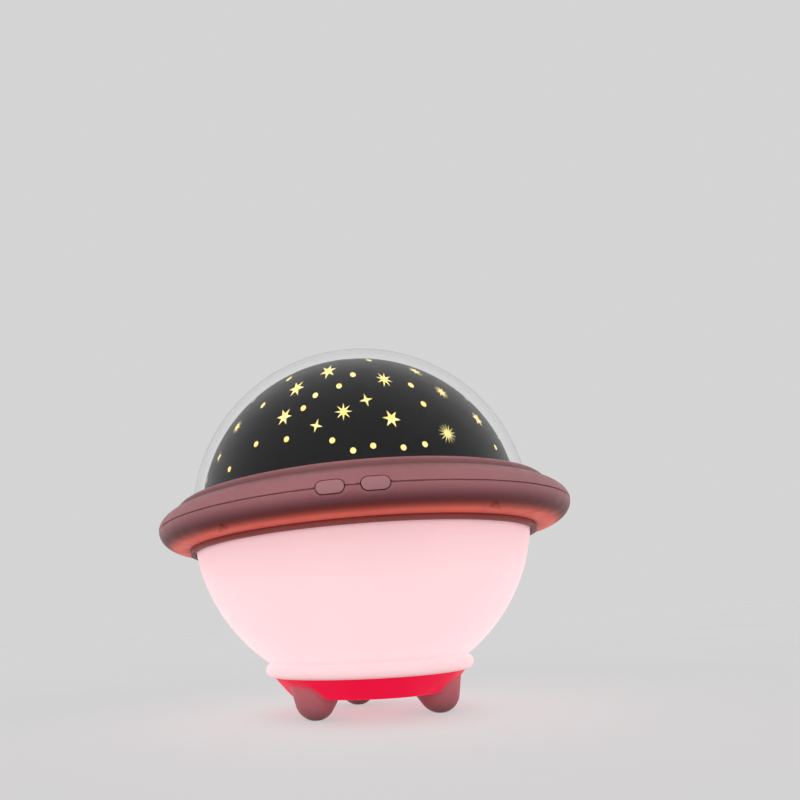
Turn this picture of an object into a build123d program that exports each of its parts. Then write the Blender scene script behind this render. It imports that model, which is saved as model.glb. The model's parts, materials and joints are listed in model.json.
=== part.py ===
# A saucer-shaped night light with a turning star dome, in millimetres.
# Z is the lamp's axis, the table is z = 0, and the front with the two buttons faces -Y.
# An azimuth counts from the front towards +X, in degrees.
from build123d import *
import math
import os

# Ring: two shells that meet on the parting plane
rim_radius = 80.4
parting_z = 74.5
rim_overhang = 13.5
ring_wall = 1.8
upper_reach = 15.4
upper_rise = 8.4
lower_reach = 10.4
lower_depth = 7.8
seam_depth = 0.5
seam_half = 0.25
lip_height = 9.7
lip_width = 4.2
lip_foot_out = 1.9
lip_bulge = 0.5
skirt_drop = 9.5
skirt_wall = 1.6
ledge_height = 2.9
tongue_wall = 1.2
tongue_height = 1.4
tongue_root = 2.0
tongue_fit = 0.2

# Clear dome with its twist lugs, and the seat that holds it in the ring
dome_rise = 4.0
dome_wall = 1.6
collar_fit = 0.3
seat_height = 3.2
seat_thickness = 1.4
seat_width = 2.0
seat_gap = 0.1
lug_count = 3
lug_azimuth = 30.0
lug_reach = 2.0
lug_height = 1.6
lug_sweep = 14.0
lug_play = 0.4
notch_turn = 24.0
notch_sweep = 17.0
notch_play = 0.7
groove_wall = 1.9

# Star mask and the film behind it
mask_gap = 3.8
mask_wall = 0.8
film_gap = 0.1
film_wall = 0.4
window_fit = 0.05
window_sectors = 3
star_turn_rate = 1.5
pattern_turn = 1.0
window_lift = 15.0
steepest_window = 66.0
dot_radius = 1.0

# Turntable with its gear
turntable_clear = 0.9
turntable_plate = 1.6
turntable_rim_wall = 1.2
turntable_rim_height = 2.2
turntable_rim_fit = 0.5
hub_radius = 7.0
hub_rise = 2.0
gear_module = 0.8
gear_teeth = 36
pinion_teeth = 12
pressure_angle = 25.0
addendum = 0.8
dedendum = 1.05
backlash = 0.2
gear_width = 3.2
gear_drop = 0.6
pinion_margin = 0.2
running_fit = 0.06
running_gap = 0.1
press_fit = 0.02

# Fixed post with the star light on top
post_radius = 4.0
post_bore = 2.2
post_flange_radius = 10.0
post_flange_thickness = 1.5
post_rise = 4.4
washer_radius = 6.8
clip_radius = 6.2
clip_thickness = 0.6
clip_groove = 0.4
clip_mouth = 70.0
projector_board_radius = 8.0
projector_board_thickness = 1.0
led_base_radius = 2.9
led_base_height = 1.2
led_lens_radius = 2.5

# Deck that carries the works
deck_thickness = 1.8
deck_margin = 0.6
deck_screw_count = 4
deck_screw_azimuth = 45.0
deck_screw_inset = 2.4
deck_boss_radius = 2.4
deck_boss_rise = 2.6

# Geared motor
motor_radius = 11.0
motor_depth = 13.0
motor_boss_radius = 3.0
motor_boss_height = 1.4
motor_boss_fit = 0.2
motor_shaft_radius = 1.5
motor_shaft_depth = 3.0
motor_ear_length = 37.0
motor_ear_width = 7.0
motor_ear_thickness = 1.0
motor_screw_spread = 15.5
terminal_width = 8.0
terminal_depth = 2.5
terminal_height = 5.0

# Battery on its foam pad
battery_width = 24.0
battery_length = 36.0
battery_height = 9.5
battery_x = 16.5
battery_pad = 0.8
battery_pad_inset = 3.0

# Core housing under the deck, with the bowl's lamp board below it
core_radius = 40.0
core_wall = 1.6
core_depth = 21.5
core_flange_width = 6.0
core_flange_thickness = 2.0
core_screw_count = 3
core_screw_azimuth = 0.0
lamp_board_radius = 38.0
lamp_board_thickness = 1.6
lamp_led_count = 8
lamp_led_size = 5.0
lamp_led_height = 1.6
lamp_led_circle = 25.0
lamp_screw_count = 3
lamp_screw_azimuth = 60.0
lamp_screw_circle = 33.0
lamp_boss_radius = 2.4
lamp_boss_height = 4.0

# Bowl, bead and footed base
bowl_inset = 14.3
bowl_fit = 0.4
bowl_wall = 1.8
bowl_bulge = 5.7
bowl_flange_width = 3.4
bowl_flange_thickness = 1.4
bowl_foot_radius = 38.4
bowl_floor = 1.8
bowl_boss_radius = 3.2
bowl_boss_height = 6.0
bead_low = 15.6
bead_height = 5.1
bead_bulge = 2.5
bead_step = 0.9
bead_width = 4.2
bead_fit = 0.2
base_low = 7.9
base_flare = 6.5
base_wall = 2.0
spigot_wall = 1.4
spigot_height = 3.0
foot_count = 3
foot_azimuth = -49.0
foot_inset = 4.0
foot_tip_radius = 7.6
foot_half_angle = 22.0
foot_splay = 12.0
foot_flat = 0.25
foot_blend = 1.5
foot_blend_margin = 1.0
base_screw_count = 3
base_screw_azimuth = 16.0
base_screw_circle = 13.0
base_screw_length = 13.0
base_boss_wall = 1.4
base_head_depth = 4.0

# Buttons and their switches
button_spacing = 13.4
button_length = 8.4
button_height = 4.0
button_proud = 0.4
button_fit = 0.3
button_land = 1.4
button_land_proud = 0.15
button_flange_out = 0.6
button_flange_thickness = 1.0
button_flange_gap = 0.3
button_travel = 0.8
plunger_radius = 1.0
plunger_depth = 1.2
plunger_room = 0.4
switch_width = 6.0
switch_depth = 3.6
switch_height = 2.8
switch_gap = 0.4

# Boards on the deck
board_thickness = 1.0
board_clear = 0.8
board_screw_inset = 3.0
standoff_radius = 2.2
button_board_width = 28.0
button_board_depth = 17.0
main_board_width = 34.0
usb_width = 8.94
usb_height = 3.2
usb_depth = 7.3
usb_shell = 0.3
usb_floor = 0.8
usb_tongue_width = 6.7
usb_tongue_depth = 5.0
usb_tongue_thickness = 0.7
usb_mouth_gap = 0.5
usb_port_fit = 0.35
connector_width = 4.6
connector_depth = 5.0
connector_height = 4.2
connector_edge = 2.7
chip_size = 7.0
chip_height = 1.2
coil_radius = 3.0
coil_height = 3.0

# Leads
lead_radius = 0.9
lead_bend = 3.0
lead_rise = 2.0
lead_play = 0.6
lead_slot_gap = 1.9
lead_slot_depth = 7.0
lead_run = 8.0

# Screws: shank radius, head radius and head height
fine_shank, fine_head, fine_head_height = 0.85, 1.6, 1.0
deck_shank, deck_head, deck_head_height = 1.0, 1.9, 1.1
base_shank, base_head, base_head_height = 1.15, 2.5, 1.8
pilot_fit = 0.05
through_fit = 0.2
head_fit = 0.3

# Direction marks moulded on the lower ring
mark_azimuth = 36.0
mark_slope = 63.0
mark_tilt = 25.0
mark_length = 6.6
mark_width = 2.8
mark_height = 0.4
mark_root = 0.6

# Heights and radii that follow from the sizes above
far = rim_radius * 3
dome_radius = rim_radius - rim_overhang
dome_centre = parting_z + dome_rise
collar_bore = dome_radius + collar_fit
crest_radius = collar_bore + lip_width
crest_z = parting_z + lip_height
lip_foot_radius = crest_radius + lip_foot_out
seat_top = parting_z + seat_height
seat_low = seat_top - seat_thickness
seat_bore = dome_radius - seat_width
dome_low = seat_top + seat_gap
lug_radius = dome_radius + lug_reach
groove_radius = lug_radius + lug_play
groove_top = dome_low + lug_height + lug_play
notch_radius = lug_radius + notch_play
web_radius = groove_radius + groove_wall
mask_radius = dome_radius - mask_gap
film_radius = mask_radius - mask_wall - film_gap
turntable_low = seat_top + turntable_clear
turntable_top = turntable_low + turntable_plate
gear_top = turntable_low - gear_drop
gear_low = gear_top - gear_width
hub_low = gear_low - 2 * pinion_margin
hub_top = turntable_top + hub_rise
gear_distance = gear_module * (gear_teeth + pinion_teeth) / 2
bowl_top_radius = rim_radius - bowl_inset
skirt_bore = bowl_top_radius + bowl_fit
skirt_low = parting_z - skirt_drop
ledge_z = skirt_low + ledge_height
deck_low = ledge_z + bowl_flange_thickness
deck_top = deck_low + deck_thickness
post_flange_top = deck_top + post_flange_thickness
post_top = hub_top + post_rise
clip_low = hub_top + running_gap
board_top = parting_z - usb_height / 2
board_low = board_top - board_thickness
motor_low = deck_low - motor_depth
core_low = deck_low - core_depth
core_floor = core_low + core_wall
core_screw_circle = core_radius + core_flange_width / 2
lamp_board_low = core_low - lamp_board_thickness
battery_top = deck_low - battery_pad
battery_low = battery_top - battery_height
bead_top = bead_low + bead_height
bead_low_radius = bowl_foot_radius - bead_step
bead_bore = bead_low_radius - bead_width
base_low_radius = bead_low_radius - base_flare
foot_circle = base_low_radius - foot_inset
base_boss_radius = base_head + head_fit + base_boss_wall
base_head_seat = base_low + base_head_depth
lead_z = board_top + lead_rise
lead_slot_y = core_radius - core_wall - lead_slot_depth / 2 - lead_slot_gap


# Basic shapes
def disc(radius, low, high):
    return Pos(0, 0, low) * Cylinder(radius, high - low, align=(Align.CENTER, Align.CENTER, Align.MIN))


def tube(outer, inner, low, high):
    return disc(outer, low, high) - disc(inner, low, high)


def block(width, depth, height, x, y, low):
    """A box centred on x and y that stands on the height low."""
    return Pos(x, y, low) * Box(width, depth, height, align=(Align.CENTER, Align.CENTER, Align.MIN))


def above(z):
    return block(far, far, far, 0, 0, z)


def below(z):
    return block(far, far, far, 0, 0, z - far)


def at_azimuth(shape, azimuth):
    """Turns a shape that was built on the +X side to an azimuth."""
    return Rot(0, 0, azimuth - 90) * shape


def around(shape, count, first_azimuth):
    """Copies of a shape built on the +X side, spread evenly about the axis."""
    return [at_azimuth(shape, first_azimuth + 360 / count * k) for k in range(count)]


def group(shapes):
    return Compound(children=list(shapes))


# Half sections, drawn with the distance from the axis and the height, and spun about the axis
def section_box(inner, outer, low, high):
    return Plane.XZ * (Pos(inner, low) * Rectangle(outer - inner, high - low, align=(Align.MIN, Align.MIN)))


def section_circle(arc, shrink=0.0):
    centre_r, centre_z, radius = arc
    return Plane.XZ * (Pos(centre_r, centre_z) * Circle(radius - shrink))


def section_oval(oval, shrink=0.0):
    centre_r, centre_z, wide, tall = oval
    return Plane.XZ * (Pos(centre_r, centre_z) * Ellipse(wide - shrink, tall - shrink))


def section_points(*points):
    return make_face(Polyline(*[(r, 0, z) for r, z in points], close=True))


def spun(section, sweep=360.0):
    return revolve(section, Axis.Z, sweep)


def sector(outer, inner, low, high, sweep):
    """A piece of a ring, sweep degrees long and centred on +X."""
    return Rot(0, 0, -sweep / 2) * spun(section_box(inner, outer, low, high), sweep)


def bulged_arc(start, end, bulge):
    """Centre and radius of the arc that stands bulge out to the right of the way from start to end."""
    chord_r = end[0] - start[0]
    chord_z = end[1] - start[1]
    length = math.hypot(chord_r, chord_z)
    radius = (length * length / 4 + bulge * bulge) / (2 * bulge)
    reach = (radius - bulge) / length
    centre_r = (start[0] + end[0]) / 2 - chord_z * reach
    centre_z = (start[1] + end[1]) / 2 + chord_r * reach
    return centre_r, centre_z, radius


def oval_reach(oval, z, shrink=0.0):
    """Distance from the lamp's axis to the outer side of an oval at height z."""
    centre_r, centre_z, wide, tall = oval
    return centre_r + (wide - shrink) * math.sqrt(1 - ((z - centre_z) / (tall - shrink)) ** 2)


upper_oval = (rim_radius - upper_reach, parting_z, upper_reach, upper_rise)
lower_oval = (rim_radius - lower_reach, parting_z, lower_reach, lower_depth)
lip_foot_z = parting_z + upper_rise * math.sqrt(1 - ((lip_foot_radius - upper_oval[0]) / upper_reach) ** 2)
lip_arc = bulged_arc((lip_foot_radius, lip_foot_z), (crest_radius, crest_z), lip_bulge)
bowl_arc = bulged_arc((bowl_foot_radius, bead_top), (bowl_top_radius, ledge_z), bowl_bulge)
deck_radius = oval_reach(lower_oval, deck_low, ring_wall) - deck_margin
deck_screw_circle = deck_radius - deck_screw_inset
tongue_top = parting_z + tongue_height
tongue_radius = oval_reach(upper_oval, tongue_top, ring_wall) - tongue_fit
tongue_inner = tongue_radius - tongue_wall


# Fasteners and leads
def screw(shank, head, head_height, length):
    """A cross-head screw with its head's underside at the origin and its shank along +Z."""
    slot = Box(1.3 * head, 0.3 * head, head_height)
    cross = slot + Rot(0, 0, 90) * slot
    return disc(head, -head_height, 0) - Pos(0, 0, -head_height) * cross + disc(shank, 0, length)


def fine_screw(length):
    return screw(fine_shank, fine_head, fine_head_height, length)


def lead(*points):
    """A round lead along straight runs joined by tangent arcs."""
    path = FilletPolyline(*points, radius=lead_bend)
    start = Plane(origin=path @ 0, z_dir=path % 0)
    return sweep(start * Circle(lead_radius), path=path)


# Ring
def pill(length, height, y_from, y_to):
    """A pill-shaped bar along Y, centred on the parting plane."""
    bar = extrude(Plane.XZ * SlotOverall(length, height), y_to - y_from, dir=(0, 1, 0))
    return Pos(0, y_from, parting_z) * bar


def rim_body(proud):
    """The full body of the ring on both sides of the parting plane, raised by proud all over."""
    upper = section_oval(upper_oval, -proud) & section_box(seat_bore, far, parting_z, crest_z)
    lower = section_oval(lower_oval, -proud) & section_box(seat_bore, far, skirt_low, parting_z)
    return spun(upper) + spun(lower)


def seam(side):
    """The fine groove of the parting line, in the shell above it (side 1) or below it (side -1)."""
    inner = rim_radius - seam_depth
    outer = rim_radius + seam_depth
    edge_z = parting_z + 2 * side * seam_half
    return spun(section_points((inner, parting_z), (outer, edge_z), (outer, parting_z)))


button_places = {"left": -button_spacing / 2, "right": button_spacing / 2}
button_corner_x = button_spacing / 2 + button_length / 2 + button_flange_out
button_corner_z = button_height / 2 + button_flange_out
button_wall = min(
    oval_reach(upper_oval, parting_z + button_corner_z, ring_wall),
    oval_reach(lower_oval, parting_z - button_corner_z, ring_wall),
)
flange_front = button_flange_gap - math.sqrt(button_wall**2 - button_corner_x**2)
flange_back = flange_front + button_flange_thickness
switch_front = flange_back + button_travel + switch_gap
usb_mouth = math.sqrt((rim_radius - ring_wall) ** 2 - (usb_width / 2) ** 2) - usb_mouth_gap
outside = rim_radius + ring_wall


def button_slots():
    slot = pill(button_length + 2 * button_fit, button_height + 2 * button_fit, -outside, flange_back)
    return [Pos(x, 0, 0) * slot for x in button_places.values()]


def button_lands():
    """Slightly raised borders round the two buttons, on both sides of the parting plane."""
    border = pill(button_length + 2 * button_land, button_height + 2 * button_land, -outside, flange_front)
    skin = rim_body(button_land_proud) - rim_body(-ring_wall / 2)
    return [Pos(x, 0, 0) * border & skin for x in button_places.values()]


def usb_port():
    return pill(usb_width + 2 * usb_port_fit, usb_height + 2 * usb_port_fit, usb_mouth - usb_depth, outside)


def make_upper_ring():
    shell = section_oval(upper_oval) & section_box(collar_bore, far, parting_z, crest_z)
    hollow = section_oval(upper_oval, ring_wall) & section_box(web_radius, far, parting_z, crest_z)
    lip = section_points(
        (collar_bore, groove_top),
        (web_radius, groove_top),
        (lip_foot_radius, lip_foot_z),
        (crest_radius, crest_z),
        (collar_bore, crest_z),
    )
    lip += section_circle(lip_arc) & section_box(crest_radius - lip_width / 2, far, lip_foot_z, crest_z)
    seat = section_box(seat_bore, web_radius, seat_low, seat_top)
    section = shell + lip + seat - hollow
    section -= section_box(seat_bore, web_radius, parting_z, seat_low)
    section -= section_box(seat_bore, groove_radius, seat_top, groove_top)
    boss_room = disc(rim_radius - ring_wall, deck_top, parting_z) + rim_body(-ring_wall / 2)
    boss = disc(deck_boss_radius, deck_top, parting_z + deck_boss_rise)
    bosses = around(Pos(deck_screw_circle, 0, 0) * boss, deck_screw_count, deck_screw_azimuth)
    bosses = [one & boss_room for one in bosses]
    pilot = disc(deck_shank + pilot_fit, deck_top, parting_z + deck_boss_rise)
    pilots = around(Pos(deck_screw_circle, 0, 0) * pilot, deck_screw_count, deck_screw_azimuth)
    notch = sector(notch_radius, seat_bore, groove_top - lug_play, crest_z + lip_bulge, notch_sweep)
    notches = around(notch, lug_count, lug_azimuth + notch_turn)
    lands = [land & above(parting_z) for land in button_lands()]
    return spun(section) + bosses + lands - pilots - notches - seam(1) - button_slots() - usb_port()


def direction_mark(side):
    """A small raised arrow head on the underside that points the way round the ring."""
    slope = math.radians(mark_slope)
    centre_r, centre_z, wide, tall = lower_oval
    spot = Vector(centre_r + wide * math.cos(slope), 0, centre_z - tall * math.sin(slope))
    out = Vector(tall * math.cos(slope), 0, -wide * math.sin(slope)).normalized()
    place = Plane(origin=spot - out * mark_root, x_dir=(0, side, 0), z_dir=out)
    tip = mark_length / 2
    arrow = Polygon((-tip, -mark_width / 2), (tip, 0), (-tip, mark_width / 2), align=None)
    turned = place * (Rot(0, 0, -side * mark_tilt) * arrow)
    return at_azimuth(extrude(turned, mark_root + mark_height), side * mark_azimuth)


def make_lower_ring():
    shell = section_oval(lower_oval) & section_box(skirt_bore, far, skirt_low, parting_z)
    shell += section_box(skirt_bore, skirt_bore + skirt_wall, skirt_low, ledge_z)
    hollow = section_oval(lower_oval, ring_wall) & section_box(0, far, ledge_z, parting_z)
    section = shell - hollow - section_box(0, lower_oval[0], ledge_z, parting_z)
    root_low = parting_z - tongue_root
    tongue_foot = tube(rim_radius, tongue_inner, root_low, parting_z) & rim_body(-ring_wall / 2)
    tongue = tongue_foot + tube(tongue_radius, tongue_inner, root_low, tongue_top)
    front_gap = 2 * (button_corner_x + button_flange_out)
    rear_gap = main_board_width
    tongue -= block(front_gap, rim_radius, far, 0, -rim_radius, 0)
    tongue -= block(rear_gap, rim_radius, far, 0, rim_radius, 0)
    marks = [direction_mark(side) for side in (-1, 1)]
    lands = [land & below(parting_z) for land in button_lands()]
    return spun(section) + tongue + marks + lands - seam(-1) - button_slots() - usb_port()


# Dome, star mask and film
def dome_shell(radius, wall, low):
    arc = (0, dome_centre, radius)
    return spun((section_circle(arc) - section_circle(arc, wall)) & section_box(0, far, low, far))


def make_clear_dome():
    lug = sector(lug_radius, dome_radius - dome_wall / 2, dome_low, dome_low + lug_height, lug_sweep)
    return dome_shell(dome_radius, dome_wall, dome_low) + around(lug, lug_count, lug_azimuth)


# Star windows: how many points each kind has, its tip radius and its notch radius
star_point_counts = {"four": 4, "six": 6, "eight": 8, "burst": 10, "sun": 14}
star_sizes = {
    "four": (2.4, 0.7),
    "six": (3.1, 1.2),
    "eight": (3.1, 1.0),
    "burst": (3.0, 0.95),
    "sun": (3.8, 1.0),
}

# Star and dot windows of one sector of the mask: kind, azimuth and height angle
star_window_angles = [
    ("eight", -2, 24),
    ("eight", 15, 38),
    ("six", 13, 20),
    ("six", -23, 26),
    ("six", -21, 39),
    ("six", -8, 47),
    ("six", -38, 59),
    ("six", 50, 23),
    ("four", -11, 20),
    ("four", 6, 28),
    ("four", 48, 57),
    ("four", -55, 19),
    ("burst", 35, 46),
    ("burst", 38, 33),
    ("burst", -48, 29),
    ("burst", 5, 65),
    ("sun", 31, 15),
]
dot_window_angles = [
    (-33, 18),
    (-21, 17),
    (-6, 14),
    (0, 10),
    (6, 11),
    (15, 10),
    (22, 11),
    (-12, 33),
    (3, 42),
    (15, 56),
    (-16, 28),
    (-50, 43),
    (-45, 12),
    (-3, 36),
    (25, 35),
    (56, 34),
    (54, 13),
    (-30, 49),
    (26, 26),
    (-36, 35),
    (-20, 69),
    (40, 71),
]


def star_face(kind, turn, stretch, shrink):
    """A star turned by some degrees and drawn out along X."""
    points = star_point_counts[kind]
    tip, notch = star_sizes[kind]
    corners = []
    for k in range(2 * points):
        angle = math.pi * k / points + math.radians(turn)
        radius = (notch if k % 2 else tip) - shrink
        corners.append((stretch * radius * math.cos(angle), radius * math.sin(angle)))
    return Polygon(*corners, align=None)


def dot_face(stretch, shrink):
    return Ellipse(stretch * (dot_radius - shrink), dot_radius - shrink)


def window(face, azimuth, height_angle):
    """A bar through the mask wall, pointing away from the middle of the dome."""
    bar = extrude(face, 2 * mask_wall, both=True)
    lean = Rot(0, 90 - height_angle, 0)
    return at_azimuth(Pos(0, 0, dome_centre) * lean * Pos(0, 0, mask_radius) * bar, azimuth)


def window_stretch(height_angle):
    """How much taller a window is than wide, so that from low in front of the lamp it looks even."""
    return 1 / math.cos(math.radians(min(height_angle + window_lift, steepest_window)))


def sector_windows(shrink):
    """One sector's star and dot windows."""
    bars = []
    for kind, azimuth, height_angle in star_window_angles:
        face = star_face(kind, star_turn_rate * azimuth, window_stretch(height_angle), shrink)
        bars.append(window(face, azimuth, height_angle))
    for azimuth, height_angle in dot_window_angles:
        bars.append(window(dot_face(window_stretch(height_angle), shrink), azimuth, height_angle))
    return bars


def in_sectors(shapes):
    """Copies of one sector's shapes in every sector of the mask."""
    turns = [pattern_turn + 360 / window_sectors * k for k in range(window_sectors)]
    return [Rot(0, 0, turn) * shape for turn in turns for shape in shapes]


def make_star_mask():
    return dome_shell(mask_radius, mask_wall, turntable_top) - in_sectors(sector_windows(0))


def make_star_film():
    """The clear shell inside the mask, whose stars and dots stand through the mask's windows."""
    reach = mask_wall + film_gap + film_wall / 2
    fill = dome_shell(mask_radius - window_fit, reach, turntable_top)
    plugs = [bar & fill for bar in sector_windows(window_fit)]
    return dome_shell(film_radius, film_wall, turntable_top) + in_sectors(plugs)


# Turntable, gear and post
def gear_face(teeth):
    """A spur gear's outline with involute flanks and a tooth centred on +X."""
    pitch = gear_module * teeth / 2
    tip = pitch + addendum * gear_module
    root = pitch - dedendum * gear_module
    angle = math.radians(pressure_angle)
    base = pitch * math.cos(angle)
    half_tooth = math.pi / (2 * teeth) - backlash / (4 * pitch)

    def half_width(radius):
        roll = math.acos(min(1.0, base / radius))
        return half_tooth + math.tan(angle) - angle - math.tan(roll) + roll

    flank_low = max(root, base)
    steps = 4
    flank = [flank_low + (tip - flank_low) * k / steps for k in range(steps + 1)]
    radii = flank if root >= base else [root] + flank
    side = [(radius, half_width(max(radius, base))) for radius in radii]
    corners = []
    for k in range(teeth):
        middle = 2 * math.pi * k / teeth
        tooth = [(radius, middle - width) for radius, width in side]
        tooth += [(radius, middle + width) for radius, width in reversed(side)]
        corners += [(radius * math.cos(a), radius * math.sin(a)) for radius, a in tooth]
    return Polygon(*corners, align=None)


def gear(teeth, low, high):
    return Pos(0, 0, low) * extrude(gear_face(teeth), high - low)


def make_turntable():
    rim_outer = film_radius - film_wall - turntable_rim_fit
    plate = disc(mask_radius, turntable_low, turntable_top)
    rim = tube(rim_outer, rim_outer - turntable_rim_wall, turntable_top, turntable_top + turntable_rim_height)
    hub = disc(hub_radius, hub_low, hub_top)
    teeth = Rot(0, 0, 180) * gear(gear_teeth, gear_low, gear_top)
    return plate + rim + hub + teeth - disc(post_radius + running_fit, hub_low, hub_top)


def make_centre_post():
    flange = disc(post_flange_radius, deck_top, post_flange_top)
    stem = disc(post_radius, deck_top, post_top)
    groove = tube(clip_radius, post_radius - clip_groove, clip_low, clip_low + clip_thickness + running_gap)
    return flange + stem - disc(post_bore, deck_top, post_top) - groove


def make_retaining_clip():
    ring = tube(clip_radius, post_radius - clip_groove + press_fit, clip_low, clip_low + clip_thickness)
    return ring - sector(far, 0.1, clip_low, clip_low + clip_thickness, clip_mouth)


def make_thrust_washer():
    return tube(washer_radius, post_radius + running_fit, post_flange_top, hub_low - running_gap)


def make_projector_board():
    return disc(projector_board_radius, post_top, post_top + projector_board_thickness)


def make_projector_led():
    low = post_top + projector_board_thickness
    lens_z = low + led_base_height
    lens = Pos(0, 0, lens_z) * Sphere(led_lens_radius) & above(lens_z)
    return disc(led_base_radius, low, lens_z) + lens


# Deck with its board standoffs and holes
button_board_front = switch_front
button_board_back = button_board_front + button_board_depth
main_board_back = math.sqrt((tongue_inner - board_clear) ** 2 - (main_board_width / 2) ** 2)
main_board_front = core_radius + core_flange_width + board_clear
button_screw_x = button_board_width / 2 - board_screw_inset
button_screw_y = button_board_back - board_screw_inset
main_screw_x = main_board_width / 2 - board_screw_inset
main_screw_y = main_board_back - board_screw_inset
button_screw_places = [(-button_screw_x, button_screw_y), (button_screw_x, button_screw_y)]
main_screw_places = [(-main_screw_x, main_screw_y), (main_screw_x, main_screw_y)]
motor_screw_places = [(-gear_distance, -motor_screw_spread), (-gear_distance, motor_screw_spread)]
lead_names = ["motor", "lamp", "projector", "battery", "button"]
connector_span = main_board_width - connector_width - 2 * connector_edge
lead_places = {name: connector_span * (k / (len(lead_names) - 1) - 0.5) for k, name in enumerate(lead_names)}
connector_front = main_board_front + board_clear


def make_deck():
    plate = disc(deck_radius, deck_low, deck_top)
    standoff = disc(standoff_radius, deck_top, board_low)
    board_places = button_screw_places + main_screw_places
    standoffs = [Pos(x, y, 0) * standoff for x, y in board_places]
    pilot = disc(fine_shank + pilot_fit, deck_low, board_low)
    holes = [Pos(x, y, 0) * pilot for x, y in board_places]
    holes += around(Pos(core_screw_circle, 0, 0) * pilot, core_screw_count, core_screw_azimuth)
    motor_hole = disc(fine_shank + through_fit, deck_low, deck_top)
    holes += [Pos(x, y, 0) * motor_hole for x, y in motor_screw_places]
    through = disc(deck_shank + through_fit, deck_low, deck_top)
    recess = disc(deck_head + head_fit, deck_low, deck_low + deck_head_height)
    holes += around(Pos(deck_screw_circle, 0, 0) * (through + recess), deck_screw_count, deck_screw_azimuth)
    holes.append(Pos(-gear_distance, 0, 0) * disc(motor_boss_radius + motor_boss_fit, deck_low, deck_top))
    holes.append(disc(post_bore, deck_low, deck_top))
    slot_from = lead_places["motor"] - lead_radius - lead_play
    slot_to = lead_places["battery"] + lead_radius + lead_play
    slot_x = (slot_from + slot_to) / 2
    holes.append(block(slot_to - slot_from, lead_slot_depth, deck_thickness, slot_x, lead_slot_y, deck_low))
    return plate + standoffs - holes


def make_deck_screws():
    shank_room = deck_thickness - deck_head_height + parting_z + deck_boss_rise - deck_top
    one = Pos(deck_screw_circle, 0, deck_low + deck_head_height) * screw(
        deck_shank, deck_head, deck_head_height, shank_room - ring_wall
    )
    return group(around(one, deck_screw_count, deck_screw_azimuth))


# Motor and pinion
def make_gear_motor():
    can = disc(motor_radius, motor_low, deck_low)
    ear = block(motor_ear_width, motor_ear_length, motor_ear_thickness, 0, 0, deck_low - motor_ear_thickness)
    boss = disc(motor_boss_radius, deck_low, deck_low + motor_boss_height)
    terminal_y = motor_radius + terminal_depth / 2 - running_gap
    terminal = block(terminal_width, terminal_depth, terminal_height, 0, terminal_y, motor_low)
    bore = disc(motor_shaft_radius + running_fit, deck_low - motor_shaft_depth, deck_low + motor_boss_height)
    ear_hole = disc(fine_shank + pilot_fit, deck_low - motor_ear_thickness, deck_low)
    ear_holes = [Pos(0, y, 0) * ear_hole for x, y in motor_screw_places]
    return Pos(-gear_distance, 0, 0) * (can + ear + boss + terminal - bore - ear_holes)


def make_motor_shaft():
    low = deck_low - motor_shaft_depth + running_gap
    return Pos(-gear_distance, 0, 0) * disc(motor_shaft_radius, low, gear_top)


def make_drive_pinion():
    low = gear_low - pinion_margin
    high = gear_top + pinion_margin
    blank = Rot(0, 0, 180 / pinion_teeth) * gear(pinion_teeth, low, high)
    return Pos(-gear_distance, 0, 0) * (blank - disc(motor_shaft_radius + press_fit, low, high))


def make_motor_screws():
    one = Rot(180, 0, 0) * fine_screw(deck_thickness + motor_ear_thickness)
    return group(Pos(x, y, deck_top) * one for x, y in motor_screw_places)


# Battery
def make_battery_pack():
    body = block(battery_width, battery_length, battery_height, battery_x, 0, battery_low)
    return fillet(body.edges().filter_by(Axis.Y), battery_height / 5)


def make_battery_pad():
    inset = 2 * battery_pad_inset
    return block(battery_width - inset, battery_length - inset, battery_pad, battery_x, 0, battery_top)


# Core housing and the bowl's lamp
def make_core_housing():
    cup = disc(core_radius, core_low, deck_low) - disc(core_radius - core_wall, core_floor, deck_low)
    flange_low = deck_low - core_flange_thickness
    flange = tube(core_radius + core_flange_width, core_radius - core_wall, flange_low, deck_low)
    boss = disc(lamp_boss_radius, core_low, core_floor + lamp_boss_height)
    bosses = around(Pos(lamp_screw_circle, 0, 0) * boss, lamp_screw_count, lamp_screw_azimuth)
    pilot = disc(fine_shank + pilot_fit, core_low, core_floor + lamp_boss_height)
    holes = around(Pos(lamp_screw_circle, 0, 0) * pilot, lamp_screw_count, lamp_screw_azimuth)
    through = disc(fine_shank + through_fit, flange_low, deck_low)
    holes += around(Pos(core_screw_circle, 0, 0) * through, core_screw_count, core_screw_azimuth)
    lead_hole = disc(lead_radius + lead_play, core_low, core_floor)
    holes.append(Pos(lead_places["lamp"], lead_slot_y - lead_run, 0) * lead_hole)
    return cup + flange + bosses - holes


def make_core_screws():
    one = Pos(core_screw_circle, 0, deck_low - core_flange_thickness) * fine_screw(
        core_flange_thickness + deck_thickness
    )
    return group(around(one, core_screw_count, core_screw_azimuth))


def make_lamp_board():
    through = disc(fine_shank + through_fit, lamp_board_low, core_low)
    holes = around(Pos(lamp_screw_circle, 0, 0) * through, lamp_screw_count, lamp_screw_azimuth)
    return disc(lamp_board_radius, lamp_board_low, core_low) - holes


def make_lamp_leds():
    low = lamp_board_low - lamp_led_height
    one = block(lamp_led_size, lamp_led_size, lamp_led_height, lamp_led_circle, 0, low)
    middle = block(lamp_led_size, lamp_led_size, lamp_led_height, 0, 0, low)
    return group(around(one, lamp_led_count, 0) + [middle])


def make_lamp_board_screws():
    length = lamp_board_thickness + core_wall + lamp_boss_height
    one = Pos(lamp_screw_circle, 0, lamp_board_low) * fine_screw(length - running_gap)
    return group(around(one, lamp_screw_count, lamp_screw_azimuth))


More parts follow.
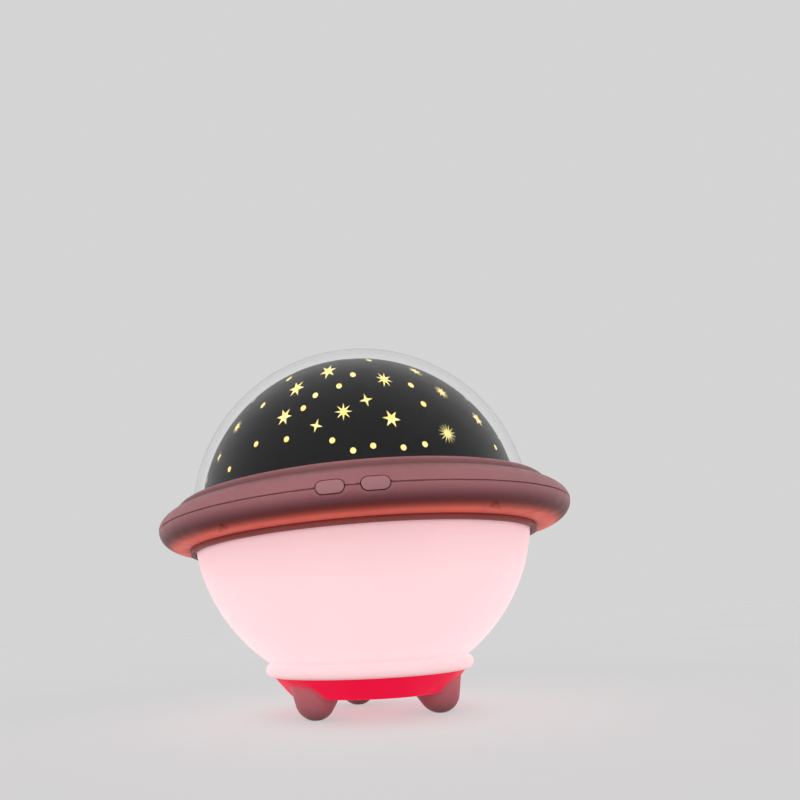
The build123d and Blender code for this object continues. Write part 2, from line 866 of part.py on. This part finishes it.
# Bowl, bead and base
def make_bowl_diffuser():
    skin = section_circle(bowl_arc) - section_circle(bowl_arc, bowl_wall)
    wall = skin & section_box(0, far, bead_top, deck_low)
    floor = section_circle(bowl_arc) & section_box(0, far, bead_top, bead_top + bowl_floor)
    flange = section_box(bowl_top_radius - bowl_wall, bowl_top_radius + bowl_flange_width, ledge_z, deck_low)
    boss_top = bead_top + bowl_floor + bowl_boss_height
    boss = disc(bowl_boss_radius, bead_top, boss_top)
    bosses = around(Pos(base_screw_circle, 0, 0) * boss, base_screw_count, base_screw_azimuth)
    pilot = disc(base_shank + pilot_fit, bead_top, boss_top - bowl_floor / 2)
    pilots = around(Pos(base_screw_circle, 0, 0) * pilot, base_screw_count, base_screw_azimuth)
    return spun(wall + floor + flange) + bosses - pilots


def make_bead_ring():
    swell = bulged_arc((bead_low_radius, bead_low), (bowl_foot_radius, bead_top), bead_bulge)
    body = section_circle(swell) & section_box(swell[0], far, bead_low, bead_top)
    return spun(body + section_box(bead_bore, swell[0], bead_low, bead_top))


def foot_body(shrink):
    """A round-tipped cone standing on the +X side, its upper end leaning in to the axis."""
    tip = foot_tip_radius - shrink
    angle = math.radians(foot_half_angle)
    middle = -(math.pi / 2 + angle) / 2
    rise = bead_low
    touch = (tip * math.cos(angle), 0, -tip * math.sin(angle))
    arc = ThreePointArc((0, 0, -tip), (tip * math.cos(middle), 0, tip * math.sin(middle)), touch)
    top = (touch[0] + (rise - touch[2]) * math.tan(angle), 0, rise)
    cone = revolve(make_face([arc, Polyline(touch, top, (0, 0, rise), (0, 0, -tip))]), Axis.Z)
    return Pos(foot_circle, 0, foot_tip_radius - foot_flat) * Rot(0, -foot_splay, 0) * cone


def make_footed_base():
    dish_low = (base_low_radius, base_low)
    dish_top = (bead_low_radius, bead_low)
    dish = spun(section_points((0, base_low), dish_low, dish_top, (0, bead_low)))
    room = below(bead_low) & above(0)
    feet = [foot & room for foot in around(foot_body(0), foot_count, foot_azimuth)]
    outer = dish + feet
    join_low = base_low - foot_blend_margin
    join_high = bead_low - foot_blend_margin
    joins = [edge for edge in outer.edges() if join_low < edge.center().Z < join_high]
    outer = fillet(joins, foot_blend)
    floor_z = base_low + base_wall
    hollow = spun(
        section_points(
            (0, floor_z),
            (base_low_radius - base_wall, floor_z),
            (bead_low_radius - 2 * base_wall, bead_low),
            (0, bead_low),
        )
    )
    foot_hollows = [foot & below(bead_low) for foot in around(foot_body(base_wall), foot_count, foot_azimuth)]
    spigot_radius = bead_bore - bead_fit
    spigot = tube(spigot_radius, spigot_radius - spigot_wall, bead_low - base_wall, bead_low + spigot_height)
    boss = disc(base_boss_radius, base_low, bead_top)
    hole = disc(base_shank + through_fit, base_low, bead_top)
    hole += disc(base_head + head_fit, base_low, base_head_seat)
    bosses = around(Pos(base_screw_circle, 0, 0) * boss, base_screw_count, base_screw_azimuth)
    holes = around(Pos(base_screw_circle, 0, 0) * hole, base_screw_count, base_screw_azimuth)
    return outer - hollow - foot_hollows + spigot + bosses - holes


def make_base_screws():
    one = screw(base_shank, base_head, base_head_height, base_screw_length)
    one = Pos(base_screw_circle, 0, base_head_seat) * one
    return group(around(one, base_screw_count, base_screw_azimuth))


# Buttons, switches and boards
def make_button(x):
    cap = Pos(x, 0, 0) * pill(button_length, button_height, -outside, flange_front) & rim_body(button_proud)
    rear = 2 * button_flange_out
    flange = pill(button_length + rear, button_height + rear, flange_front, flange_back)
    neck = pill(button_length, button_height, flange_front - ring_wall, flange_back)
    return cap + Pos(x, 0, 0) * neck + Pos(x, 0, 0) * flange


def plunger_bar(x, radius, y_from, y_to):
    bar = Rot(-90, 0, 0) * disc(radius, y_from, y_to)
    return Pos(x, 0, parting_z) * bar


def make_plunger(x):
    return plunger_bar(x, plunger_radius, flange_back, switch_front + plunger_depth)


def make_switch(x):
    body = block(switch_width, switch_depth, switch_height, x, switch_front + switch_depth / 2, board_top)
    bore_end = switch_front + plunger_depth + button_travel + plunger_room
    return body - plunger_bar(x, plunger_radius + running_fit, switch_front, bore_end)


def board(width, front, back, screw_places):
    body = block(width, back - front, board_thickness, 0, (front + back) / 2, board_low)
    hole = disc(fine_shank + through_fit, board_low, board_top)
    return body - [Pos(x, y, 0) * hole for x, y in screw_places]


def make_button_board():
    return board(button_board_width, button_board_front, button_board_back, button_screw_places)


def make_main_board():
    return board(main_board_width, main_board_front, main_board_back, main_screw_places)


def board_screws(places):
    one = Rot(180, 0, 0) * fine_screw(board_top - deck_low - running_gap)
    return group(Pos(x, y, board_top) * one for x, y in places)


def make_usb_socket():
    back = usb_mouth - usb_depth
    inner_width = usb_width - 2 * usb_shell
    shell = pill(usb_width, usb_height, back, usb_mouth)
    shell -= pill(inner_width, usb_height - 2 * usb_shell, back + usb_floor, usb_mouth)
    tongue_y = back + usb_floor + usb_tongue_depth / 2
    tongue_low = parting_z - usb_tongue_thickness / 2
    return shell + block(usb_tongue_width, usb_tongue_depth, usb_tongue_thickness, 0, tongue_y, tongue_low)


def connector(x, y):
    return block(connector_width, connector_depth, connector_height, x, y, board_top)


button_connector_y = button_board_back - connector_depth / 2
button_connector_x = 0.0


def make_lead_connectors():
    row = [connector(x, connector_front + connector_depth / 2) for x in lead_places.values()]
    return group(row + [connector(button_connector_x, button_connector_y)])


def make_board_parts():
    y = (connector_front + connector_depth + main_board_back) / 2
    spread = (usb_width + chip_size) / 2 + running_gap
    chip = block(chip_size, chip_size, chip_height, -spread, y, board_top)
    coil = Pos(spread, y, 0) * disc(coil_radius, board_top, board_top + coil_height)
    return group([chip, coil])


# Leads from the works to the main board
def lead_end(name, z):
    """The last stretch of a lead: up through the deck's slot and on to its connector."""
    x = lead_places[name]
    return [(x, lead_slot_y, z), (x, lead_slot_y, lead_z), (x, connector_front, lead_z)]


def make_motor_lead():
    z = motor_low + terminal_height / 2
    start_y = motor_radius + terminal_depth - running_gap
    return lead((-gear_distance, start_y, z), (-gear_distance, start_y + lead_run, z), *lead_end("motor", z))


def make_lamp_lead():
    x = lead_places["lamp"]
    y = lead_slot_y - lead_run
    rise = core_floor + lead_run
    return lead((x, y, core_low), (x, y, rise), *lead_end("lamp", rise + lead_run / 2))


def make_projector_lead():
    z = core_floor + 2 * lead_run
    return lead((0, 0, post_top), (0, 0, z), *lead_end("projector", z))


def make_battery_lead():
    z = battery_low + battery_height / 2
    y = battery_length / 2
    return lead((battery_x, y, z), (battery_x, y + lead_run, z), *lead_end("battery", z))


def make_button_lead():
    x = lead_places["button"]
    side = 2.5 * x
    start_y = button_connector_y + connector_depth / 2
    return lead(
        (button_connector_x, start_y, lead_z),
        (button_connector_x, start_y + lead_run, lead_z),
        (side, -lead_slot_y / 2, lead_z),
        (side, lead_slot_y / 2, lead_z),
        (x, lead_slot_y, lead_z),
        (x, connector_front, lead_z),
    )


pieces = {
    "footed_base": make_footed_base(),
    "base_screws": make_base_screws(),
    "bead_ring": make_bead_ring(),
    "bowl_diffuser": make_bowl_diffuser(),
    "lower_ring": make_lower_ring(),
    "upper_ring": make_upper_ring(),
    "clear_dome": make_clear_dome(),
    "star_mask": make_star_mask(),
    "star_film": make_star_film(),
    "turntable": make_turntable(),
    "centre_post": make_centre_post(),
    "thrust_washer": make_thrust_washer(),
    "retaining_clip": make_retaining_clip(),
    "projector_board": make_projector_board(),
    "projector_led": make_projector_led(),
    "deck": make_deck(),
    "deck_screws": make_deck_screws(),
    "gear_motor": make_gear_motor(),
    "motor_screws": make_motor_screws(),
    "motor_shaft": make_motor_shaft(),
    "drive_pinion": make_drive_pinion(),
    "battery_pack": make_battery_pack(),
    "battery_pad": make_battery_pad(),
    "core_housing": make_core_housing(),
    "core_screws": make_core_screws(),
    "lamp_board": make_lamp_board(),
    "lamp_leds": make_lamp_leds(),
    "lamp_board_screws": make_lamp_board_screws(),
    "button_board": make_button_board(),
    "button_board_screws": board_screws(button_screw_places),
    "main_board": make_main_board(),
    "main_board_screws": board_screws(main_screw_places),
    "usb_socket": make_usb_socket(),
    "lead_connectors": make_lead_connectors(),
    "board_parts": make_board_parts(),
    "motor_lead": make_motor_lead(),
    "lamp_lead": make_lamp_lead(),
    "projector_lead": make_projector_lead(),
    "battery_lead": make_battery_lead(),
    "button_lead": make_button_lead(),
}
for side_name, side_x in button_places.items():
    pieces["button_" + side_name] = make_button(side_x)
    pieces["switch_plunger_" + side_name] = make_plunger(side_x)
    pieces["switch_" + side_name] = make_switch(side_x)

os.makedirs("parts", exist_ok=True)
for name, shape in pieces.items():
    export_step(shape, f"parts/{name}.step")
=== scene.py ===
import json
import math

import bpy
from mathutils import Matrix, Vector


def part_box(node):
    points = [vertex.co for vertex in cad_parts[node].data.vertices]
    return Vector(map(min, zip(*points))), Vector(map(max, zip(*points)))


# Finishes, studio and camera for the star night light, with lengths in metres
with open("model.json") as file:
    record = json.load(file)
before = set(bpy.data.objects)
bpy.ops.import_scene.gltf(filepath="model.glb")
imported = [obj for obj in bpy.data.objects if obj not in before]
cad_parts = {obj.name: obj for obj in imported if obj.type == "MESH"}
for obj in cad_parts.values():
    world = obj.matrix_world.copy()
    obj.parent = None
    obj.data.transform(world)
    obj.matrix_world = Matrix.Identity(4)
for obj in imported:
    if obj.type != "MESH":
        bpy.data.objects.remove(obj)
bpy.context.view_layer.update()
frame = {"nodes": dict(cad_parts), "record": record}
nodes = frame["nodes"]

# Places on the lamp that its finishes and its painted light and shade follow
rim_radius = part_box("lower_ring")[1].x
bowl_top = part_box("bowl_diffuser")[1].z
bead_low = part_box("bead_ring")[0].z
bead_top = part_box("bead_ring")[1].z
foot_places = [Vector(m["pos_m"]) for m in frame["record"]["mounts"] if m["name"].startswith("foot_")]
lip_radius = rim_radius - 0.009
skirt_radius = rim_radius - 0.0125
bead_edge = 0.0014
foot_core = 0.0088
foot_reach = 0.0115
foot_shade_top = 0.0125
foot_fade_low = 0.0108
foot_fade_high = 0.0148

# Noise: the part of its range that is used, and its scales in waves a metre
noise_low = 0.33
noise_high = 0.67
drift_scale = 28.0
polish_scale = 190.0
ring_painted_light_scale = 45.0
bowl_glow_scale = 14.0
dome_polish_scale = 60.0
mask_drift_scale = 40.0
mask_polish_scale = 220.0
film_drift_scale = 60.0
film_glow_scale = 520.0
floor_drift_scale = 6.0

# Relief: the grain of the plastics and the faint waves of the dome
grain_scale = 2600.0
grain_detail = 2.0
grain_depth = 0.00004
mask_grain_scale = 2400.0
mask_grain_depth = 0.00003
dome_wave_scale = 9.0
dome_wave_detail = 1.0
dome_wave_depth = 0.0004

# How far the roughness of moulded plastic strays
polish_below = 0.05
polish_above = 0.06

# Camera, with the picture's side and the spot where its axis meets the picture in pixels
picture_side = 800.0
focal_length = 650.0
axis_spot = (260.0, 520.0)
sensor_width = 36.0
camera_near = 0.01
camera_place = (0.0, -0.2682, 0.0344)
camera_pan = 8.449
camera_tilt = 9.534
camera_roll = -3.351

# Studio and its light, with the heights of the light band as sines of the elevation
floor_reach = 8.0
floor_sides = 96
floor_colours = ((0.36, 0.36, 0.36), (0.35, 0.35, 0.352))
floor_shine = (0.43, 0.43, 0.435)
backdrop_colour = (0.66, 0.66, 0.665)
band_strength = 3.6
band_top = 0.20
band_end = 0.45
band_colour = (1.0, 0.985, 0.97)
sky_colour = (0.08, 0.08, 0.08)


# Material helpers
class Look:
    """A material being built: makes nodes, links them, and holds the shader."""

    # A Mix node's sockets for the share and the two colours, and its colour output, whose names repeat
    mix_inputs = (0, 6, 7)
    mix_output = 2

    def __init__(self, name):
        self.material = bpy.data.materials.new(name)
        self.material.use_nodes = True
        self.tree = self.material.node_tree
        self.shader = self.tree.nodes["Principled BSDF"]
        self.place = self.tree.nodes.new("ShaderNodeTexCoord").outputs["Object"]

    def node(self, kind, **settings):
        """Makes a node with some of its settings."""
        made = self.tree.nodes.new(kind)
        for key, value in settings.items():
            setattr(made, key, value)
        return made

    def put(self, value, socket):
        """Gives a socket a number, a colour or another node's output."""
        if isinstance(value, (int, float)):
            socket.default_value = value
        elif isinstance(value, tuple):
            socket.default_value = value if len(value) == len(socket.default_value) else (*value, 1)
        else:
            self.tree.links.new(value, socket)

    def set(self, **values):
        """Sets or feeds the shader's own sockets."""
        for key, value in values.items():
            self.put(value, self.shader.inputs[key.replace("_", " ")])

    def noise(self, scale, detail=3.0):
        made = self.node("ShaderNodeTexNoise")
        self.put(scale, made.inputs["Scale"])
        self.put(detail, made.inputs["Detail"])
        self.put(self.place, made.inputs["Vector"])
        return made.outputs["Fac"]

    def spread(self, value, low, high, to_low=0.0, to_high=1.0, kind="SMOOTHSTEP"):
        """Maps a value from low..high to to_low..to_high, clamped."""
        made = self.node("ShaderNodeMapRange", interpolation_type=kind)
        self.put(value, made.inputs["Value"])
        self.put(low, made.inputs["From Min"])
        self.put(high, made.inputs["From Max"])
        self.put(to_low, made.inputs["To Min"])
        self.put(to_high, made.inputs["To Max"])
        return made.outputs["Result"]

    def drift(self, scale, low=0.0, high=1.0):
        """Soft cloudy noise from low to high."""
        return self.spread(self.noise(scale), noise_low, noise_high, low, high)

    def mix(self, share, first, second):
        """Blends two colours by the share of the second."""
        made = self.node("ShaderNodeMix", data_type="RGBA")
        for socket, value in zip(self.mix_inputs, (share, first, second)):
            self.put(value, made.inputs[socket])
        return made.outputs[self.mix_output]

    def tint(self, colour, share):
        """Multiplies a colour by a number."""
        made = self.node("ShaderNodeVectorMath", operation="SCALE")
        self.put(colour, made.inputs[0])
        self.put(share, made.inputs["Scale"])
        return made.outputs[0]

    def dim(self, colour, shade):
        """Multiplies a colour by another."""
        made = self.node("ShaderNodeVectorMath", operation="MULTIPLY")
        self.put(colour, made.inputs[0])
        self.put(shade, made.inputs[1])
        return made.outputs[0]

    def join(self, kind, first, second):
        """Joins two numbers by a Math node."""
        made = self.node("ShaderNodeMath", operation=kind)
        self.put(first, made.inputs[0])
        self.put(second, made.inputs[1])
        return made.outputs[0]

    def ramp(self, value, stops):
        """A colour that runs through stops, each a place from 0 to 1 and a colour."""
        made = self.node("ShaderNodeValToRGB")
        line = made.color_ramp
        while len(line.elements) < len(stops):
            line.elements.new(1.0)
        for element, (place, colour) in zip(line.elements, stops):
            element.position = place
            element.color = (*colour, 1)
        self.put(value, made.inputs["Fac"])
        return made.outputs["Color"]

    def height(self):
        split = self.node("ShaderNodeSeparateXYZ")
        self.put(self.place, split.inputs[0])
        return split.outputs["Z"]

    def plan_distance(self, point=(0.0, 0.0)):
        """Distance from an upright line through a point of the plan."""
        flat = self.dim(self.place, (1.0, 1.0, 0.0))
        away = self.node("ShaderNodeVectorMath", operation="DISTANCE")
        self.put(flat, away.inputs[0])
        self.put((*point, 0.0), away.inputs[1])
        return away.outputs["Value"]

    def bump(self, value, strength, distance):
        made = self.node("ShaderNodeBump")
        self.put(strength, made.inputs["Strength"])
        self.put(distance, made.inputs["Distance"])
        self.put(value, made.inputs["Height"])
        self.set(Normal=made.outputs["Normal"])

    def wear(self, *names):
        """Puts this material on pieces of the lamp."""
        for name in names:
            mesh = nodes[name].data
            mesh.materials.clear()
            mesh.materials.append(self.material)


def plastic(name, roughness, grain):
    """Plastic with fine grain and uneven polish, not yet coloured."""
    look = Look(name)
    look.set(Roughness=look.drift(polish_scale, roughness - polish_below, roughness + polish_above))
    look.bump(look.noise(grain_scale, grain_detail), grain, grain_depth)
    return look


def moulded(name, colour, deep, roughness, grain):
    """Plastic that drifts faintly between two colours."""
    look = plastic(name, roughness, grain)
    look.set(Base_Color=look.mix(look.drift(drift_scale), colour, deep))
    return look


# Ring shells and buttons
ring_colours = ((0.355, 0.142, 0.155), (0.335, 0.131, 0.144))
cap_colours = ((0.385, 0.165, 0.180), (0.365, 0.152, 0.167))


def upper_ring_look():
    """Satin plastic with painted shade that darkens its colour in the hollow at the foot of the lip."""
    look = plastic("ring_plastic", roughness=0.46, grain=0.35)
    outward = look.spread(look.plan_distance(), lip_radius, rim_radius, kind="LINEAR")
    # Painted shade: the colour is darker in the hollow at the foot of the lip
    lip_foot_painted_shade = look.ramp(outward, [
        (0.00, (1.00, 1.00, 1.00)),
        (0.10, (1.00, 1.00, 1.00)),
        (0.20, (0.55, 0.52, 0.51)),
        (0.25, (0.60, 0.57, 0.57)),
        (0.42, (0.86, 0.85, 0.85)),
        (0.75, (1.00, 1.00, 1.00)),
    ])
    plain = look.mix(look.drift(drift_scale), *ring_colours)
    look.set(Base_Color=look.dim(plain, lip_foot_painted_shade), Specular_IOR_Level=0.3)
    look.wear("upper_ring")


def lower_ring_look():
    """The same plastic, with painted shade below the parting line and on the skirt, and painted light from
    the bowl near its skirt, in the colour and as an emission.
    """
    look = plastic("ring_plastic_painted_light_and_shade", roughness=0.44, grain=0.35)
    inward = look.spread(look.plan_distance(), rim_radius, skirt_radius, kind="LINEAR")
    # Painted shade below the parting line and on the skirt, with a brighter red band of painted light
    # between them where the bowl's light falls
    painted_shade_and_light_colour = look.ramp(inward, [
        (0.00, (0.355, 0.142, 0.155)),
        (0.05, (0.270, 0.100, 0.115)),
        (0.13, (0.185, 0.060, 0.070)),
        (0.20, (0.145, 0.033, 0.036)),
        (0.28, (0.150, 0.031, 0.026)),
        (0.38, (0.220, 0.040, 0.030)),
        (0.50, (0.340, 0.065, 0.045)),
        (0.63, (0.400, 0.075, 0.048)),
        (0.90, (0.320, 0.060, 0.050)),
        (1.00, (0.170, 0.052, 0.054)),
    ])
    # Painted light: an emission where the bowl's light falls on the underside of the ring
    lamp_glow_and_painted_light = look.ramp(inward, [
        (0.16, (0.00, 0.000, 0.000)),
        (0.28, (0.05, 0.004, 0.002)),
        (0.40, (0.24, 0.030, 0.018)),
        (0.52, (0.42, 0.058, 0.036)),
        (0.70, (0.42, 0.056, 0.036)),
        (0.90, (0.34, 0.042, 0.028)),
        (0.96, (0.20, 0.024, 0.018)),
        (1.00, (0.00, 0.000, 0.000)),
    ])
    look.set(Base_Color=look.tint(painted_shade_and_light_colour, look.drift(drift_scale, 1.0, 0.92)), Specular_IOR_Level=0.2)
    look.set(Emission_Color=look.tint(lamp_glow_and_painted_light, look.drift(ring_painted_light_scale, 1.0, 0.85)), Emission_Strength=1.0)
    look.wear("lower_ring")


def button_look():
    look = moulded("button_plastic", *cap_colours, roughness=0.42, grain=0.25)
    look.wear("button_left", "button_right")


# Bowl and bead, lit from inside
milky_colours = ((0.40, 0.31, 0.32), (0.38, 0.295, 0.305))


def milky(name, lamp_glow_and_painted_light):
    """Milky plastic that shines with the colour that glow gives."""
    look = moulded(name, *milky_colours, roughness=0.40, grain=0.12)
    light = look.tint(lamp_glow_and_painted_light(look), look.drift(bowl_glow_scale, 1.0, 0.975))
    look.set(Emission_Color=light, Emission_Strength=1.0)
    look.set(Subsurface_Weight=0.2, Subsurface_Radius=(0.006, 0.004, 0.004), Subsurface_Scale=1.0)
    return look


def bowl_glow(look):
    """Brightest near the foot, and deeper pink towards the ring."""
    rise = look.spread(look.height(), bead_top, bowl_top, kind="LINEAR")
    return look.ramp(rise, [
        (0.00, (0.66, 0.430, 0.450)),
        (0.05, (0.75, 0.535, 0.560)),
        (0.45, (0.71, 0.475, 0.497)),
        (0.60, (0.69, 0.450, 0.470)),
        (0.78, (0.61, 0.365, 0.390)),
        (0.93, (0.52, 0.265, 0.290)),
    ])


def bead_glow(look):
    """Deeper pink along the lower edge."""
    low_share = look.spread(look.height(), bead_low + bead_edge, bead_low)
    return look.mix(low_share, (0.62, 0.39, 0.405), (0.47, 0.24, 0.25))


# Base
dish_colours = ((0.15, 0.002, 0.010), (0.13, 0.002, 0.008))
foot_colours = ((0.30, 0.108, 0.120), (0.28, 0.099, 0.111))
dish_light = (0.71, 0.0, 0.036)
foot_painted_light = (0.19, 0.022, 0.034)
no_light = (0.0, 0.0, 0.0)


def base_look():
    """The dish glows red, and the feet carry painted light that is strongest at their tops, and fade to
    plain plastic at their tips.
    """
    look = plastic("base_plastic", roughness=0.44, grain=0.3)
    foot_share = 0.0
    for place in foot_places:
        near = look.spread(look.plan_distance((place.x, place.y)), foot_reach, foot_core)
        foot_share = look.join("MAXIMUM", near, foot_share)
    below = look.spread(look.height(), foot_fade_high, foot_fade_low)
    foot_share = look.join("MULTIPLY", foot_share, below)
    dish = look.mix(look.drift(drift_scale), *dish_colours)
    feet = look.mix(look.drift(drift_scale), *foot_colours)
    look.set(Base_Color=look.mix(foot_share, dish, feet), Specular_IOR_Level=0.15)
    # Painted light: an emission on the feet that is strongest at their tops and none at their tips
    foot_rise = look.spread(look.height(), 0.0, foot_shade_top)
    foot_painted_light_by_height = look.mix(foot_rise, no_light, foot_painted_light)
    look.set(Emission_Color=look.mix(foot_share, dish_light, foot_painted_light_by_height), Emission_Strength=1.0)
    look.wear("footed_base")


# Dome, mask and film
mask_colours = ((0.003, 0.003, 0.003), (0.006, 0.0055, 0.0055))
film_colours = ((0.90, 0.66, 0.22), (0.85, 0.58, 0.16))
film_lights = ((1.0, 0.91, 0.44), (0.82, 0.65, 0.13))


def dome_look():
    """Clear plastic, with a low index so that the pale studio's reflection doesn't veil the mask."""
    look = Look("clear_plastic")
    look.set(Base_Color=(1.0, 1.0, 1.0), IOR=1.28, Transmission_Weight=1.0)
    look.set(Roughness=look.drift(dome_polish_scale, 0.012, 0.03))
    look.bump(look.noise(dome_wave_scale, dome_wave_detail), 0.03, dome_wave_depth)
    look.wear("clear_dome")


def mask_look():
    look = Look("black_mask")
    look.set(Base_Color=look.mix(look.drift(mask_drift_scale), *mask_colours))
    look.set(Roughness=look.drift(mask_polish_scale, 0.50, 0.62), Specular_IOR_Level=0.03)
    look.bump(look.noise(mask_grain_scale, grain_detail), 0.15, mask_grain_depth)
    look.wear("star_mask")


def film_look():
    """Warm film that shines through the mask's windows."""
    look = Look("star_film")
    look.set(Base_Color=look.mix(look.drift(film_drift_scale), *film_colours))
    look.set(Emission_Color=look.mix(look.drift(film_glow_scale), *film_lights))
    look.set(Emission_Strength=1.0, Roughness=0.5)
    look.wear("star_film")


# Pieces inside the lamp
def inner_looks():
    white = moulded("white_plastic", (0.74, 0.74, 0.72), (0.70, 0.70, 0.685), roughness=0.5, grain=0.2)
    white.wear("turntable", "centre_post", "deck", "core_housing")
    white.wear("drive_pinion", "thrust_washer", "lead_connectors")
    board = moulded("circuit_board", (0.02, 0.17, 0.06), (0.016, 0.14, 0.05), roughness=0.35, grain=0.1)
    board.wear("projector_board", "lamp_board", "button_board", "main_board")
    dark = moulded("dark_plastic", (0.02, 0.02, 0.021), (0.028, 0.027, 0.027), roughness=0.45, grain=0.2)
    dark.wear("switch_left", "switch_right", "switch_plunger_left", "switch_plunger_right")
    dark.wear("board_parts", "battery_pad")
    wrap = moulded("battery_wrap", (0.05, 0.14, 0.38), (0.045, 0.12, 0.34), roughness=0.3, grain=0.1)
    wrap.wear("battery_pack")
    lens = moulded("led_lens", (0.9, 0.78, 0.45), (0.88, 0.74, 0.4), roughness=0.2, grain=0.05)
    lens.wear("projector_led", "lamp_leds")
    red = moulded("red_lead", (0.5, 0.03, 0.025), (0.46, 0.025, 0.02), roughness=0.4, grain=0.1)
    red.wear("motor_lead", "battery_lead", "projector_lead")
    pale = moulded("pale_lead", (0.7, 0.7, 0.69), (0.67, 0.67, 0.66), roughness=0.4, grain=0.1)
    pale.wear("lamp_lead", "button_lead")
    steel = moulded("plated_steel", (0.58, 0.58, 0.59), (0.53, 0.53, 0.545), roughness=0.3, grain=0.15)
    steel.set(Metallic=1.0)
    steel.wear("base_screws", "deck_screws", "motor_screws", "core_screws")
    steel.wear("lamp_board_screws", "button_board_screws", "main_board_screws")
    steel.wear("motor_shaft", "retaining_clip", "gear_motor", "usb_socket")


# Studio: a pale round floor, a soft band of light low all round it, and a pale backdrop to the eye
def studio_floor():
    pale = Look("studio_pale")
    pale.set(Base_Color=pale.mix(pale.drift(floor_drift_scale), *floor_colours), Roughness=0.8)
    rays = pale.node("ShaderNodeLightPath").outputs
    seen = pale.join("MAXIMUM", rays["Is Camera Ray"], rays["Is Glossy Ray"])
    seen = pale.join("MAXIMUM", seen, rays["Is Transmission Ray"])
    pale.set(Emission_Color=floor_shine, Emission_Strength=seen, Specular_IOR_Level=0.0)
    turns = [2 * math.pi * k / floor_sides for k in range(floor_sides)]
    corners = [(floor_reach * math.cos(a), floor_reach * math.sin(a), 0.0) for a in turns]
    mesh = bpy.data.meshes.new("studio")
    mesh.from_pydata(corners, [], [tuple(range(floor_sides))])
    mesh.materials.append(pale.material)
    floor = bpy.data.objects.new("studio", mesh)
    bpy.context.scene.collection.objects.link(floor)


def studio_light():
    world = bpy.data.worlds.new("studio_air")
    world.use_nodes = True
    tree = world.node_tree
    make = tree.nodes.new
    link = tree.links.new
    split = make("ShaderNodeSeparateXYZ")
    link(make("ShaderNodeTexCoord").outputs["Generated"], split.inputs[0])
    band = make("ShaderNodeValToRGB")
    link(split.outputs["Z"], band.inputs["Fac"])
    low, high = band.color_ramp.elements
    low.position = band_top
    low.color = (*band_colour, 1)
    high.position = band_end
    high.color = (*sky_colour, 1)
    light = tree.nodes["Background"]
    light.inputs["Strength"].default_value = band_strength
    link(band.outputs["Color"], light.inputs["Color"])
    shown = make("ShaderNodeBackground")
    shown.inputs["Color"].default_value = (*backdrop_colour, 1)
    rays = make("ShaderNodeLightPath").outputs
    seen = rays["Is Camera Ray"]
    for kind in ("Is Glossy Ray", "Is Transmission Ray"):
        either = make("ShaderNodeMath")
        either.operation = "MAXIMUM"
        link(seen, either.inputs[0])
        link(rays[kind], either.inputs[1])
        seen = either.outputs[0]
    choice = make("ShaderNodeMixShader")
    link(seen, choice.inputs[0])
    link(light.outputs[0], choice.inputs[1])
    link(shown.outputs[0], choice.inputs[2])
    link(choice.outputs[0], tree.nodes["World Output"].inputs["Surface"])
    bpy.context.scene.world = world


def camera():
    made = bpy.data.cameras.new("camera")
    made.sensor_width = sensor_width
    made.lens = sensor_width * focal_length / picture_side
    made.shift_x = 0.5 - axis_spot[0] / picture_side
    made.shift_y = axis_spot[1] / picture_side - 0.5
    made.clip_start = camera_near
    eye = bpy.data.objects.new("camera", made)
    turn = Matrix.Rotation(math.radians(90), 3, "X")
    turn = turn @ Matrix.Rotation(math.radians(camera_pan), 3, "Y")
    turn = turn @ Matrix.Rotation(math.radians(camera_tilt), 3, "X")
    turn = turn @ Matrix.Rotation(math.radians(camera_roll), 3, "Z")
    eye.matrix_world = Matrix.Translation(camera_place) @ turn.to_4x4()
    bpy.context.scene.collection.objects.link(eye)
    bpy.context.scene.camera = eye


upper_ring_look()
lower_ring_look()
button_look()
milky("milky_bowl", bowl_glow).wear("bowl_diffuser")
milky("milky_bead", bead_glow).wear("bead_ring")
base_look()
dome_look()
mask_look()
film_look()
inner_looks()
studio_floor()
studio_light()
camera()
bpy.context.scene.view_settings.view_transform = "Standard"
